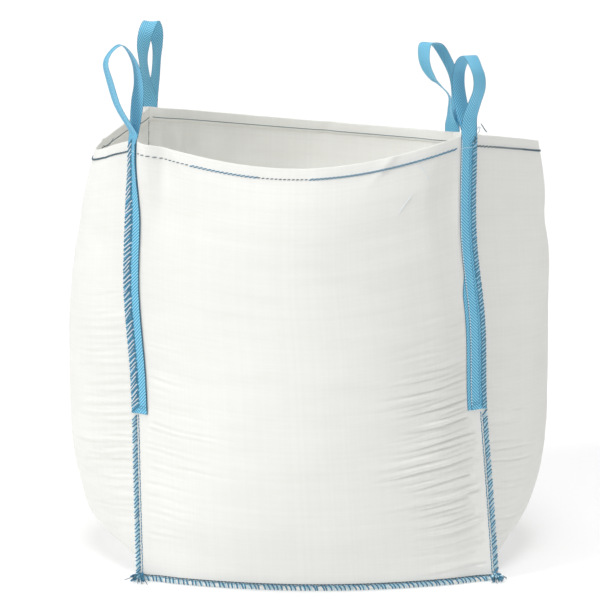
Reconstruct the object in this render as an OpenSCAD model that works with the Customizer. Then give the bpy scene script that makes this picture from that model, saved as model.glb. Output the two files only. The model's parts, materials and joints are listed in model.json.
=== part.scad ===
// Open-top woven bulk bag with four webbing lifting loops, drawn as it stands when filled.
// Origin at the centre of the base on the floor, +Z up, front towards -Y. Millimetres.

/* [Bag] */
// Height of the front left corner seam
bag_h = 1000; // [950:5:1050]
// Half of the bag's width where the filled walls are widest
belly_half = 562; // [550:1:575]
// Distance of the corner seams from the middle, front to back, at the base
base_half_y = 396; // [385:1:405]
// Distance of the corner seams from the middle, front to back, at the rim
rim_half_y = 380; // [370:1:395]
// Thickness of the woven fabric
fabric_t = 1.2; // [1:0.1:1.6]
// Depth of the turned hem, where its line of stitching lies
hem_d = 24; // [18:1:32]
// Width of the seam allowance that stands out at the corners
fin_w = 15; // [12:1:18]
// Width of the seam allowance round the base
base_fin_w = 12; // [9:1:15]
// How far the corner seam allowances turn back from straight sideways, in degrees
fin_angle = 14; // [8:1:20]

/* [Lifting loops] */
// Width of the webbing
strap_w = 36; // [32:1:38]
// Thickness of the webbing
strap_t = 1.4; // [1:0.1:1.6]
// Length of each sewn tail below the rim
tail_len = 616; // [560:2:640]

/* [Thread] */
// Width of the overlock stitching on a seam edge
overlock_w = 9; // [7:1:11]
// Thickness of a band of overlock stitching
overlock_t = 0.7; // [0.5:0.1:0.9]
// Width of a single line of stitching
stitch_w = 2.4; // [1.5:0.1:3]
// Length of the loose thread end at a bottom corner
thread_tail_len = 26; // [18:1:32]

/* [Hidden] */
CORNERS = ["front_left", "front_right", "back_right", "back_left"];
SIDES = ["front", "right", "back", "left"];

$fn = 32;
white = [0.93, 0.93, 0.91];
blue = [0.30, 0.63, 0.80];
thread = [0.20, 0.48, 0.60];

gap = 0.3;                                  // clearance between separate layers
wall_steps = 20;                            // facets along a wall
wall_rows = 20;                             // facets up a wall
inner_lo = gap / 2 + fabric_t + 2 * gap;    // the inner tail's underside, out from the seam plane
outer_lo = inner_lo + strap_t + gap;        // the outer tail's underside
strap_hi = outer_lo + strap_t;              // the outer tail's top
hinge_lift = 4.5;                           // from the seam's top to a loop's bending line

// Corner seam places across the bag against height, as [share of height, mm from the middle].
seam_left = [[0, -375], [0.2, -379], [0.45, -384], [0.66, -398], [0.85, -393], [1, -390]];
seam_right = [[0, 412], [0.2, 397], [0.4, 381], [0.58, 376], [0.78, 355], [1, 355]];
// Heights of the corner seams: the back right one has slumped.
seam_top = [bag_h, bag_h + 10, bag_h - 72, bag_h - 10];
// How far the rim sags between the corners of each side.
rim_sag = [57, 18, 15, 60];
// A wall's half-width at its middle against height, as [share of height, share of belly_half].
belly = [[0.06, 0.885], [0.15, 0.955], [0.28, 0.992], [0.45, 1.0], [0.6, 0.995]];
// The same at the base, for each side.
belly_base = [0.865, 0.75, 0.85, 0.68];
// The same near the rim: at 0.85 of the height, and at the rim, for each side.
belly_top = [[0.972, 0.90], [0.988, 0.948], [0.975, 0.92], [0.950, 0.883]];

function lerp(a, b, t) = a + (b - a) * t;
function clamp01(x) = min(1, max(0, x));
function smooth(x) = let (c = clamp01(x)) c * c * (3 - 2 * c);
function unit(v) = v / norm(v);

// Smooth curve through [x, y] points, level with its neighbours' slope at each point.
function slope(p, i) =
    let (a = max(0, i - 1), b = min(len(p) - 1, i + 1)) (p[b][1] - p[a][1]) / (p[b][0] - p[a][0]);
function span(p, x) = max([0, for (i = [0:len(p) - 2]) if (x >= p[i][0]) i]);
function curve(p, x) =
    let (i = span(p, x), h = p[i + 1][0] - p[i][0], t = (x - p[i][0]) / h,
         a = p[i][1], b = p[i + 1][1], m = slope(p, i) * h, n = slope(p, i + 1) * h)
    a * (2 * t ^ 3 - 3 * t ^ 2 + 1) + m * (t ^ 3 - 2 * t ^ 2 + t)
    + b * (3 * t ^ 2 - 2 * t ^ 3) + n * (t ^ 3 - t ^ 2);

// Side k runs from corner k to corner k + 1, anticlockwise seen from above.
function is_left(c) = c == 0 || c == 3;
function is_front(c) = c < 2;
function outward(k) = [[0, -1], [1, 0], [0, 1], [-1, 0]][k];
function along(k) = [[1, 0], [0, 1], [-1, 0], [0, -1]][k];
function corner(c, v) = [
    curve(is_left(c) ? seam_left : seam_right, v),
    (is_front(c) ? -1 : 1) * lerp(base_half_y, rim_half_y, v)
];
function fin_dir(c) = [(is_left(c) ? -1 : 1) * cos(fin_angle), (is_front(c) ? 1 : -1) * sin(fin_angle)];
function fin_tip(c, v) = corner(c, v) + fin_dir(c) * fin_w;

// The middle of a wall, out from the bag's axis.
function belly_at(k, v) =
    let (base = [[0, belly_base[k]]], top = [[0.85, belly_top[k][0]], [1, belly_top[k][1]]])
    belly_half * curve(concat(base, belly, top), v);
// A wall's outline in plan: an arch whose ends are flattened by the stiff seams.
function arch(u) =
    (0.5 * (1 - (2 * u - 1) ^ 2) + 0.5 * sin(180 * u)) * lerp(0.5, 1, smooth(min(u, 1 - u) / 0.12));
function wall(k, u, v) =
    let (a = corner(k, v), b = corner((k + 1) % 4, v), m = (a + b) / 2)
    lerp(a, b, u) + outward(k) * (belly_at(k, v) - m * outward(k)) * arch(u);
function rim_z(k, u) = lerp(seam_top[k], seam_top[(k + 1) % 4], u) - rim_sag[k] * sin(180 * u);
function wall_z(k, u, v) = lerp(fabric_t + gap, rim_z(k, u), v);

// Heights of a wall's rows, closer together at the rounded foot.
row_power = 1.35;
function row_v(i) = (i / wall_rows) ^ row_power;
// The same wall as its facets have it, so that layers sewn on it lie flat against it.
function facet_row(k, u, v) =
    let (i = min(wall_steps - 1, floor(u * wall_steps)))
    lerp(wall(k, i / wall_steps, v), wall(k, (i + 1) / wall_steps, v), u * wall_steps - i);
function on_wall(k, u, v) =
    let (i = min(wall_rows - 1, floor(wall_rows * v ^ (1 / row_power))), a = row_v(i), b = row_v(i + 1))
    lerp(facet_row(k, u, a), facet_row(k, u, b), (v - a) / (b - a));
function on_wall_z(k, u, v) =
    let (i = min(wall_steps - 1, floor(u * wall_steps)))
    lerp(wall_z(k, i / wall_steps, v), wall_z(k, (i + 1) / wall_steps, v), u * wall_steps - i);
// The wall that the strap of corner c is sewn on, and a place on it, d from the seam.
function strap_side(c) = is_front(c) ? 0 : 2;
function strap_u(c, d) =
    let (k = strap_side(c), u = d / norm(corner(k, 1) - corner(k + 1, 1)))
    c == k ? u : 1 - u;
function seam_edge(c, v) = on_wall(strap_side(c), strap_u(c, 0), v) + fin_dir(c) * fin_w;

// Offsets a plan outline to its right by d, mitred at each point.
function turned(a, b) = let (d = unit(b - a)) [d[1], -d[0]];
function miter(m, n) = (m + n) / (1 + m * n);
function offset_line(p, d) = [
    for (i = [0:len(p) - 1])
        let (m = turned(p[max(0, i - 1)], p[max(1, i)]),
             n = turned(p[min(len(p) - 2, i)], p[min(len(p) - 1, i + 1)]))
        p[i] + miter(m, n) * d
];

// A closed sheet between two grids of points with the same rows and columns.
module sheet(inner, outer) {
    rows = len(inner);
    cols = len(inner[0]);
    half = rows * cols;
    function at(side, r, c) = side * half + r * cols + c;
    function strip(a, b) = [for (i = [0:len(a) - 2]) [a[i], a[i + 1], b[i + 1], b[i]]];
    function halves(q) = [[q[0], q[1], q[2]], [q[0], q[2], q[3]]];
    function row(side, r) = [for (c = [0:cols - 1]) at(side, r, c)];
    function col(side, c) = [for (r = [0:rows - 1]) at(side, r, c)];
    quads = concat(
        [for (r = [0:rows - 2]) each strip(row(1, r + 1), row(1, r))],
        [for (r = [0:rows - 2]) each strip(row(0, r), row(0, r + 1))],
        strip(row(1, 0), row(0, 0)),
        strip(row(0, rows - 1), row(1, rows - 1)),
        strip(col(0, 0), col(1, 0)),
        strip(col(1, cols - 1), col(0, cols - 1))
    );
    polyhedron(
        points = concat([for (r = inner) each r], [for (r = outer) each r]),
        faces = [for (q = quads) each halves(q)]
    );
}

// The same sheet given by its plan outlines, its heights, and its offsets from them.
module layer(lines, heights, lo, hi) {
    function grid(d) = [
        for (r = [0:len(lines) - 1])
            let (p = offset_line(lines[r], d))
            [for (c = [0:len(p) - 1]) [p[c][0], p[c][1], heights[r][c]]]
    ];
    sheet(grid(lo), grid(hi));
}

// ---- Fabric ----

function panel_line(k, v) = [
    fin_tip(k, v),
    for (i = [0:wall_steps]) wall(k, i / wall_steps, v),
    fin_tip((k + 1) % 4, v)
];
function panel_heights(k, v) = [
    wall_z(k, 0, v),
    for (i = [0:wall_steps]) wall_z(k, i / wall_steps, v),
    wall_z(k, 1, v)
];

module panel(k) {
    vs = [for (i = [0:wall_rows]) row_v(i)];
    color(white)
        layer([for (v = vs) panel_line(k, v)], [for (v = vs) panel_heights(k, v)],
              gap / 2, gap / 2 + fabric_t);
}

module base_panel() {
    outline = [for (k = [0:3]) for (i = [0:wall_steps - 1]) wall(k, i / wall_steps, 0)];
    ring = concat([outline[len(outline) - 1]], outline, [outline[0]]);
    wide = offset_line(ring, base_fin_w);
    color(white)
        linear_extrude(fabric_t)
            polygon([for (i = [1:len(outline)]) wide[i]]);
}

// ---- Thread ----

// A line of stitching round the hem of side k, between the straps on the front and back.
module hem_stitch(k) {
    clear_end = k % 2 == 0 ? 0.045 : 0.012;
    vs = [for (d = [hem_d + stitch_w / 2, hem_d - stitch_w / 2]) 1 - d / bag_h];
    us = [clear_end, for (i = [1:wall_steps - 1]) if (i > clear_end * wall_steps) i / wall_steps,
          1 - clear_end];
    lo = gap / 2 + fabric_t + 3 * gap;
    color(thread)
        layer([for (v = vs) [for (u = us) on_wall(k, u, v)]],
              [for (v = vs) [for (u = us) on_wall_z(k, u, v)]], lo, lo + overlock_t);
}

// Overlock stitching over the edge of the base seam: on top of the edge and down its outside.
module base_overlock(k) {
    end = 0.02;
    us = [end, for (i = [1:wall_steps - 1]) i / wall_steps, 1 - end];
    ends = [for (u = us) on_wall(k, u, 0)];
    inner = offset_line(ends, base_fin_w - overlock_w);
    edge = offset_line(ends, base_fin_w + gap);
    out = offset_line(ends, base_fin_w + gap + overlock_t);
    function lift(p, z) = [for (q = p) [q[0], q[1], z]];
    top = fabric_t + gap;
    color(thread)
        sheet([lift(edge, gap), lift(edge, top), lift(inner, top)],
              [lift(out, gap), lift(out, top + overlock_t), lift(inner, top + overlock_t)]);
}

// Overlock stitching down corner c: a band folded over the outer edge of the seam and strap.
module corner_overlock(c) {
    rows = 30;
    tip_gap = gap + 0.4;
    back = gap / 2 + fabric_t + gap;
    tail_end = 1 - tail_len / seam_top[c];
    step_up = 0.05;
    f = fin_dir(c);
    n = [f[1], -f[0]] * (is_left(c) == is_front(c) ? -1 : 1);
    function front(v) = lerp(inner_lo, strap_hi + gap, smooth((v - tail_end + step_up) / 0.01));
    function line(v, d) = let (t = seam_edge(c, v)) [
        t - f * overlock_w + n * (front(v) + d),
        t + f * (tip_gap + d) + n * (front(v) + d),
        t + f * (tip_gap + d) - n * (back + d),
        t - f * overlock_w - n * (back + d)
    ];
    function row(i, d) = let (v = lerp(0.004, 0.998, i / rows), p = line(v, d))
        [for (q = is_left(c) == is_front(c) ? [p[3], p[2], p[1], p[0]] : p)
            [q[0], q[1], lerp(fabric_t + gap, seam_top[c], v)]];
    color(thread)
        sheet([for (i = [0:rows]) row(i, 0)], [for (i = [0:rows]) row(i, overlock_t)]);
}

// A loose end of overlock thread that trails on the floor from a bottom corner.
module thread_tail(c) {
    start = fin_tip(c, 0) + fin_dir(c) * 5;
    drop = 6;
    thread_r = 1.4;
    color(thread)
        translate([start[0], start[1], drop + 3])
            rotate([0, 90 + asin(drop / thread_tail_len), atan2(is_front(c) ? -1 : 1, fin_dir(c)[0])])
                cylinder(h = thread_tail_len, r = thread_r);
}

// ---- Webbing ----

// Outline across the strap at corner c: the seam allowance, then the wall beside it.
strap_us = [0, 0.5, 1];
function in_order(c, p) = c == strap_side(c) ? p : [for (i = [len(p) - 1:-1:0]) p[i]];
function strap_line(c, v) = in_order(c, [
    seam_edge(c, v),
    for (t = strap_us) on_wall(strap_side(c), strap_u(c, t * (strap_w - fin_w)), v)
]);
// Its heights follow the wall's, and come level above the rim.
function strap_height(c, u, v) =
    let (k = strap_side(c), level = seam_top[c] + 1)
    lerp(fabric_t + gap, lerp(rim_z(k, u), level, smooth((v - 0.85) / 0.15)), v);
function strap_heights(c, v) = in_order(c, [
    for (t = concat([0], strap_us)) strap_height(c, strap_u(c, t * (strap_w - fin_w)), v)
]);
// Rows up the strap from d below its top, which take in the wall's own rows.
function strap_rows(c, d) =
    let (low = 1 - d / seam_top[c]) [low, for (i = [1:wall_rows]) if (row_v(i) > low + 0.01) row_v(i)];

module strap_tail(c, lo) {
    vs = strap_rows(c, tail_len);
    color(blue)
        layer([for (v = vs) strap_line(c, v)], [for (v = vs) strap_heights(c, v)], lo, lo + strap_t);
}

// Two lines of lockstitch down the sewn tails, joined across the bottom.
module strap_stitching(c) {
    k = strap_side(c);
    lo = strap_hi + gap;
    end_margin = 14;
    near = 1.5;
    far = strap_w - fin_w - 2;
    vs = [for (v = strap_rows(c, tail_len - end_margin)) min(v, 0.99)];
    module line(a, b, rows) {
        us = [for (d = [a, b]) strap_u(c, d)];
        layer([for (v = rows) in_order(c, [for (u = us) on_wall(k, u, v)])],
              [for (v = rows) in_order(c, [for (u = us) strap_height(c, u, v)])], lo, lo + overlock_t);
    }
    color(thread) {
        line(near, near + stitch_w / 2, vs);
        line(far - stitch_w / 2, far, vs);
        line(near + stitch_w / 2 + gap, far - stitch_w / 2 - gap, [vs[0], vs[0] + stitch_w / bag_h / 2]);
    }
}

// Where a loop bends: the middle of the strap, over the top of the seam.
function hinge_xy(c) =
    let (n = let (k = strap_side(c)) outward(k), mid = strap_w / 2 - fin_w)
    corner(c, 1) - fin_dir(c) * mid + n * (inner_lo + strap_t + gap / 2);
function hinge(c) = [hinge_xy(c)[0], hinge_xy(c)[1], seam_top[c] + hinge_lift];

// Each loop's run from its front tail round to its back tail, from the bending line:
// [across, depth, up, turn of the webbing in plan in degrees].
loop_run = [
    [[-10, -10, 22, -34], [-24, -18, 44, -48], [-40, -22, 76, -58], [-55, -20, 126, -63],
     [-63, -14, 160, -68], [-54, -7, 186, -72], [-32, 0, 204, -72], [-12, 7, 188, -68],
     [4, 12, 156, -62], [10, 14, 116, -54], [7, 13, 78, -44], [3, 8, 40, -32]],
    [[2, -7, 36, 24], [10, -24, 66, 32], [19, -42, 98, 38], [19, -48, 126, 40],
     [11, -42, 150, 40], [0, -12, 170, 36], [-12, 22, 160, 34], [-20, 44, 134, 38],
     [-22, 42, 104, 38], [-18, 32, 70, 34], [-11, 14, 36, 28]],
    [[-10, -14, 44, -32], [-16, -22, 86, -52], [-32, -24, 112, -62], [-50, -22, 130, -58],
     [-65, -18, 156, -50], [-71, -12, 184, -42], [-66, -2, 212, -34], [-38, 14, 208, -34],
     [-14, 24, 172, -40], [4, 28, 130, -40], [8, 22, 90, -36], [5, 10, 46, -30]],
    [[-5, -7, 36, 34], [-11, -18, 74, 50], [-15, -26, 112, 50], [-15, -28, 148, 34],
     [-8, -22, 182, 14], [4, 0, 204, 4], [13, 22, 182, 14], [17, 28, 148, 40],
     [15, 27, 110, 50], [12, 19, 68, 44], [6, 8, 34, 34]]
];
function foot_turn(c) = (is_left(c) == is_front(c) ? -1 : 1) * fin_angle;
function foot_normal(c) = let (a = foot_turn(c)) [sin(a), -cos(a)];
// The run with its two ends, which leave the foot upright and half a layer off the bending line.
function loop_points(c) =
    let (n = foot_normal(c) * (strap_t + gap) / 2, m = n * 1.5, a = foot_turn(c), rise = 9)
    concat([[n[0], n[1], 0, a], [m[0], m[1], rise, a]], loop_run[c],
           [[-m[0], -m[1], rise, a], [-n[0], -n[1], 0, a]]);
function spline(p, s) =
    let (i = min(len(p) - 2, floor(s)), t = s - i,
         a = p[max(0, i - 1)], b = p[i], d = p[i + 1], e = p[min(len(p) - 1, i + 2)])
    0.5 * (2 * b + (d - a) * t + (2 * a - 5 * b + 4 * d - e) * t ^ 2
        + (3 * b - a - 3 * d + e) * t ^ 3);
function xyz(p) = [p[0], p[1], p[2]];

module loop(c) {
    p = loop_points(c);
    rings = 4 * (len(p) - 1);
    function place(i) = spline(p, i * (len(p) - 1) / rings);
    function across(i) =
        let (q = place(i), e = 0.02, s = i * (len(p) - 1) / rings,
             t = unit(xyz(spline(p, min(len(p) - 1, s + e))) - xyz(spline(p, max(0, s - e)))),
             w = [cos(q[3]), sin(q[3]), 0])
        unit(w - t * (w * t));
    function side(i) =
        let (e = 0.02, s = i * (len(p) - 1) / rings,
             t = unit(xyz(spline(p, min(len(p) - 1, s + e))) - xyz(spline(p, max(0, s - e)))))
        cross(across(i), t);
    function edge(i, d) = [
        for (h = [-1, 1]) xyz(place(i)) + across(i) * h * strap_w / 2 + side(i) * d
    ];
    color(blue)
        translate(hinge(c))
            sheet([for (i = [0:rings]) edge(i, -strap_t / 2)], [for (i = [0:rings]) edge(i, strap_t / 2)]);
}

base_panel();
for (k = [0:3]) {
    panel(k);
    hem_stitch(k);
    base_overlock(k);
    corner_overlock(k);
    strap_tail(k, inner_lo);
    strap_tail(k, outer_lo);
    strap_stitching(k);
    thread_tail(k);
    loop(k);
}
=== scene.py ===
"""The looks of an open-top woven bulk bag with four webbing lifting loops, round the CAD frame.

Metres, +Z up, front towards -Y. Corners are numbered 0 front left, 1 front right, 2 back right and
3 back left, anticlockwise from above, and side k runs from corner k to corner k + 1. u is a share
of a wall's width, v a share of its height, and c and k are a corner's and a side's number.
"""

import json
import math

import bmesh
import bpy
import numpy as np
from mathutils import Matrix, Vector, noise


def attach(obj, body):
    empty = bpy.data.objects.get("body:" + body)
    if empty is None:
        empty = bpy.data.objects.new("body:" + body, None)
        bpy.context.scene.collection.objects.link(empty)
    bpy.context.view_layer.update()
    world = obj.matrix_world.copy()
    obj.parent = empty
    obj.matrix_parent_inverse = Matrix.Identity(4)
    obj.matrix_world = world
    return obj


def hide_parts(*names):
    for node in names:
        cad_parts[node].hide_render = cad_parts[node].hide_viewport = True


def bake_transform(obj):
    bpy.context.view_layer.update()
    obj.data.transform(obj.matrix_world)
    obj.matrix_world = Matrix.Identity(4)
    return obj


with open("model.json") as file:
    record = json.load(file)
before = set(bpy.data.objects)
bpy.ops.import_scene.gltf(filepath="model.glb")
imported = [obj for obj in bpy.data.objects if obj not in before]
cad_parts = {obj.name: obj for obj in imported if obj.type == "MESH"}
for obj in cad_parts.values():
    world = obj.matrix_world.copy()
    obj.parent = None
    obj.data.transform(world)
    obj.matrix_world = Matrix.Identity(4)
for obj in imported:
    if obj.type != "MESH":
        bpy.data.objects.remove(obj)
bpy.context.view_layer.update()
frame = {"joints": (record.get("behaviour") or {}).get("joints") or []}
rng = np.random.default_rng(17)

# ---- Driving dimensions, as in the design ----

CORNERS = ["front_left", "front_right", "back_right", "back_left"]
SIDES = ["front", "right", "back", "left"]
OUT = np.array([[0, -1], [1, 0], [0, 1], [-1, 0]], float)

BAG_H = 1.0  # height of the front left corner seam
BELLY_HALF = 0.562  # half width where the filled walls are widest
BASE_HALF_Y = 0.396  # corner seams, front to back, at the base
RIM_HALF_Y = 0.380  # the same at the rim
HEM_D = 0.024  # depth of the turned hem at its line of stitching
FIN_W = 0.015  # seam allowance at the corners
FLANGE_W = 0.0125  # seam allowance round the base
FLANGE_DROP = 0.0085  # how far it slopes down
FIN_ANGLE = 14.0  # how far the corner allowances turn back, in degrees
STRAP_W = 0.036
STRAP_T = 0.0014
TAIL_LEN = 0.616  # each sewn tail, below the rim
GAP = 0.0003  # clearance between layers
CLOTH_T = 0.0009  # thickness of the woven fabric
SEAM_LIFT = 0.012  # the base seam stands this far off the floor

# The left and right corner seams: [share of height, x].
SEAM_LEFT = [[0, -0.375], [0.2, -0.379], [0.45, -0.384], [0.66, -0.398], [0.85, -0.393],
             [1, -0.390]]
SEAM_RIGHT = [[0, 0.412], [0.2, 0.397], [0.4, 0.381], [0.58, 0.376], [0.78, 0.355], [1, 0.355]]
SEAM_TOP = [BAG_H, BAG_H + 0.010, BAG_H - 0.072, BAG_H - 0.010]
RIM_SAG = [0.057, 0.018, 0.015, 0.060]
# How far each wall bulges, as shares of BELLY_HALF: up all the walls, at each one's base, and at
# each one's shoulder and rim.
BELLY = [[0.06, 0.885], [0.15, 0.955], [0.28, 0.992], [0.45, 1.0], [0.6, 0.995]]
BELLY_BASE = [0.865, 0.75, 0.85, 0.68]
BELLY_TOP = [[0.972, 0.90], [0.988, 0.948], [0.975, 0.92], [0.950, 0.883]]
SHOULDER = 0.85  # share of the height where the shoulder is
# The front left corner is twisted at the rim, so its strap turns its edge to the front.
ROLL = [44.0, 0.0, 0.0, 0.0]
ROLL_FROM, ROLL_FULL = 0.79, 0.97  # shares of the height where the twist starts and is full
ROLL_REACH = [0.024, 0.085]  # full as far as this from the seam, and gone by this

# ---- Small tools ----


def lerp(a, b, t):
    return a + (b - a) * t


def smooth(x):
    x = np.clip(x, 0.0, 1.0)
    return x * x * (3 - 2 * x)


def unit(v):
    return v / np.maximum(np.linalg.norm(v, axis=-1, keepdims=True), 1e-12)


def through(points, s, at):
    """A smooth path through points (n, ...) at distances s (n), read at the distances in at."""
    p, s, at = np.asarray(points, float), np.asarray(s, float), np.asarray(at, float)
    wide = (...,) + (None,) * (p.ndim - 1)
    order = np.arange(len(p))
    before, after = np.maximum(order - 1, 0), np.minimum(order + 1, len(p) - 1)
    slope = (p[after] - p[before]) / (s[after] - s[before])[wide]
    i = np.clip(np.searchsorted(s, at, side="right") - 1, 0, len(p) - 2)
    step = s[i + 1] - s[i]
    h, t = step[wide], ((at - s[i]) / step)[wide]
    return (
        p[i] * (2 * t**3 - 3 * t**2 + 1)
        + slope[i] * h * (t**3 - 2 * t**2 + t)
        + p[i + 1] * (3 * t**2 - 2 * t**3)
        + slope[i + 1] * h * (t**3 - t**2)
    )


def curve(points, x):
    """A smooth curve through [x, y] points, read at x."""
    places, values = np.array(points, float).T
    return through(values, places, x)


def run_length(p):
    """Distance along lines of points (..., n, 3), from the first point of each."""
    steps = np.linalg.norm(np.diff(p, axis=-2), axis=-1)
    return np.concatenate([np.zeros(steps.shape[:-1] + (1,)), np.cumsum(steps, -1)], -1)


def upright(plan, z=0.0):
    """Plan vectors with their third coordinate."""
    plan = np.asarray(plan, float)
    return np.concatenate([plan, np.broadcast_to(z, plan.shape[:-1])[..., None]], -1)


def turned(p, degrees):
    """Plan vectors p turned about +Z."""
    a = np.radians(degrees)
    c, s = np.cos(a), np.sin(a)
    return np.stack([p[..., 0] * c - p[..., 1] * s, p[..., 0] * s + p[..., 1] * c], -1)


def right_of(along):
    """Level unit vectors to the right of the way along."""
    return unit(np.stack([along[..., 1], -along[..., 0], 0 * along[..., 0]], -1))


def grid_normals(g):
    """Normals of a grid of points (rows, columns, 3)."""
    return unit(np.cross(np.gradient(g, axis=1), np.gradient(g, axis=0)))


# ---- The bag's shape ----


def across_sign(c):
    """-1 at a left corner and 1 at a right one."""
    return -1 if c % 4 in (0, 3) else 1


def depth_sign(c):
    """-1 at a front corner and 1 at a back one."""
    return -1 if c % 4 < 2 else 1


def strap_side(c):
    """The side whose panel the strap of corner c is sewn on."""
    return 1 + depth_sign(c)


def corner(c, v):
    """Plan place of corner seam c at share v of its height."""
    x = curve(SEAM_LEFT if across_sign(c) < 0 else SEAM_RIGHT, v)
    y = lerp(BASE_HALF_Y, RIM_HALF_Y, np.asarray(v, float)) * depth_sign(c)
    return np.stack([x, y], -1)


def belly_at(k, v):
    """How far the middle of wall k stands from the bag's axis."""
    (at_shoulder, at_rim), base = BELLY_TOP[k], BELLY_BASE[k]
    return BELLY_HALF * curve([[0, base], *BELLY, [SHOULDER, at_shoulder], [1, at_rim]], v)


def arch(u):
    """A wall's outline in plan: an arch whose ends are flattened by the stiff seams."""
    hump = 0.5 * (1 - (2 * u - 1) ** 2) + 0.5 * np.sin(np.pi * u)
    return hump * lerp(0.5, 1.0, smooth(np.minimum(u, 1 - u) / 0.12))


def roll_at(c, v):
    """How far corner c is twisted at v, in degrees."""
    return ROLL[c % 4] * smooth((np.asarray(v, float) - ROLL_FROM) / (ROLL_FULL - ROLL_FROM))


def fin_dir(c, v):
    """Plan direction in which corner c's seam allowance points."""
    a = math.radians(FIN_ANGLE)
    d = np.array([across_sign(c) * math.cos(a), -depth_sign(c) * math.sin(a)])
    return turned(np.broadcast_to(d, np.shape(v) + (2,)), -roll_at(c, v))


def fin_normal(c, v):
    """Plan direction square to the seam allowance, on the strap's side."""
    d = fin_dir(c, v)
    return np.stack([d[..., 1], -d[..., 0]], -1) * (-across_sign(c) * depth_sign(c))


def rim_z(k, u):
    """Height of the rim of wall k."""
    top = lerp(SEAM_TOP[k], SEAM_TOP[(k + 1) % 4], u)
    return top - RIM_SAG[k] * np.sin(np.pi * u)


def wall(k, u, v):
    """Points on wall k, u along it and v up it, before any folds."""
    u, v = np.broadcast_arrays(np.asarray(u, float), np.asarray(v, float))
    a, b = corner(k, v), corner(k + 1, v)
    middle = (a + b) / 2 @ OUT[k]
    plan = lerp(a, b, u[..., None]) + OUT[k] * ((belly_at(k, v) - middle) * arch(u))[..., None]
    if k == 0:
        off = plan - a
        away = np.linalg.norm(off, axis=-1)
        share = 1 - smooth((away - ROLL_REACH[0]) / (ROLL_REACH[1] - ROLL_REACH[0]))
        plan = a + turned(off, -roll_at(0, v) * share)
    return upright(plan, lerp(SEAM_LIFT, rim_z(k, u), v))


def wall_normal(k, u, v):
    """The way out of wall k."""
    e = 2e-3
    across = wall(k, np.clip(u + e, 0, 1), v) - wall(k, np.clip(u - e, 0, 1), v)
    upward = wall(k, u, np.clip(v + e, 0, 1)) - wall(k, u, v - e)
    return unit(np.cross(across, upward))


def seam_length(k, v):
    """Length of the horizontal line of wall k at v, measured round its arch."""
    return float(run_length(wall(k, np.linspace(0, 1, 60), np.full(60, v)))[-1])


def up_seam(c, height):
    """The share of corner seam c's height that a height above the floor is."""
    return (np.asarray(height, float) - SEAM_LIFT) / (SEAM_TOP[c] - SEAM_LIFT)


def strap_line(c, s, height):
    """Points across the strap of corner c, s from its seam: negative on the seam allowance."""
    s, height = np.broadcast_arrays(np.asarray(s, float), np.asarray(height, float))
    k, v = strap_side(c), up_seam(c, height)
    u = np.maximum(s, 0) / np.linalg.norm(corner(k, v) - corner(k + 1, v), axis=-1)
    on_wall = wall(k, u if c % 4 == k else 1 - u, v)
    on_wall[..., :2] += fin_dir(c, v) * np.maximum(-s, 0)[..., None]
    # The rim dips away from the seam, and the strap near it doesn't.
    on_wall[..., 2] = lerp(on_wall[..., 2], height, smooth((v - 0.8) / 0.15))
    return on_wall


# ---- Folds and puckers in the cloth ----

# Where the seams gather the cloth into fine creases:
# [side, end, lowest, highest, reach across, spacing, depth, rise towards the seam].
GATHERS = [
    [0, 1, 0.02, 0.64, 0.30, 0.0130, 0.0054, 0.08],
    [0, 0, 0.10, 0.58, 0.24, 0.0240, 0.0024, 0.04],
    [3, 1, 0.10, 0.68, 0.34, 0.0150, 0.0046, 0.12],
    [1, 0, 0.08, 0.52, 0.22, 0.0220, 0.0026, 0.08],
    [1, 1, 0.10, 0.62, 0.26, 0.0180, 0.0042, 0.12],
    [2, 0, 0.08, 0.62, 0.28, 0.0165, 0.0044, 0.14],
    [2, 1, 0.10, 0.62, 0.26, 0.0180, 0.0042, 0.10],
    [3, 0, 0.10, 0.62, 0.26, 0.0180, 0.0042, 0.10],
]
# Soft dents high on the walls: [side, u, v, reach along, reach up, depth].
DENTS = [
    [1, 0.30, 0.84, 0.16, 0.06, 0.010],
    [1, 0.62, 0.80, 0.20, 0.05, 0.007],
    [0, 0.20, 0.86, 0.12, 0.05, 0.004],
    [0, 0.74, 0.84, 0.10, 0.05, 0.004],
    [2, 0.35, 0.80, 0.16, 0.06, 0.009],
    [2, 0.72, 0.86, 0.12, 0.05, 0.008],
    [3, 0.30, 0.86, 0.14, 0.06, 0.008],
    [3, 0.66, 0.80, 0.16, 0.05, 0.005],
    [0, 0.92, 0.87, 0.03, 0.05, 0.008],
    [2, 0.935, 0.915, 0.011, 0.030, -0.009],
    [2, 0.905, 0.900, 0.012, 0.040, 0.012],
    [2, 0.868, 0.920, 0.013, 0.030, -0.009],
    [2, 0.79, 0.90, 0.03, 0.05, 0.008],
    [3, 0.10, 0.91, 0.04, 0.04, 0.010],
]
# Creases across the hem: [side, u at the rim, slant, width, reach down, height].
HEM_CREASES = [
    [0, 0.765, -0.9, 0.010, 0.045, 0.0045],
    [0, 0.52, 0.6, 0.016, 0.030, -0.0035],
    [0, 0.11, 0.8, 0.014, 0.050, 0.0040],
    [1, 0.25, -0.5, 0.018, 0.060, 0.0040],
    [1, 0.70, 0.4, 0.016, 0.040, -0.0030],
    [2, 0.40, 0.6, 0.018, 0.050, 0.0040],
    [3, 0.35, -0.7, 0.016, 0.050, 0.0040],
    [3, 0.78, 0.5, 0.014, 0.040, -0.0030],
]
# Waves all over the cloth: [how close along, how close up, place in the noise, height].
WAVES = [[3.0, 3.6, 0, 0.0045], [9.0, 14.0, 5, 0.0011], [5.0, 30.0, 8, 0.0009]]


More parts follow.
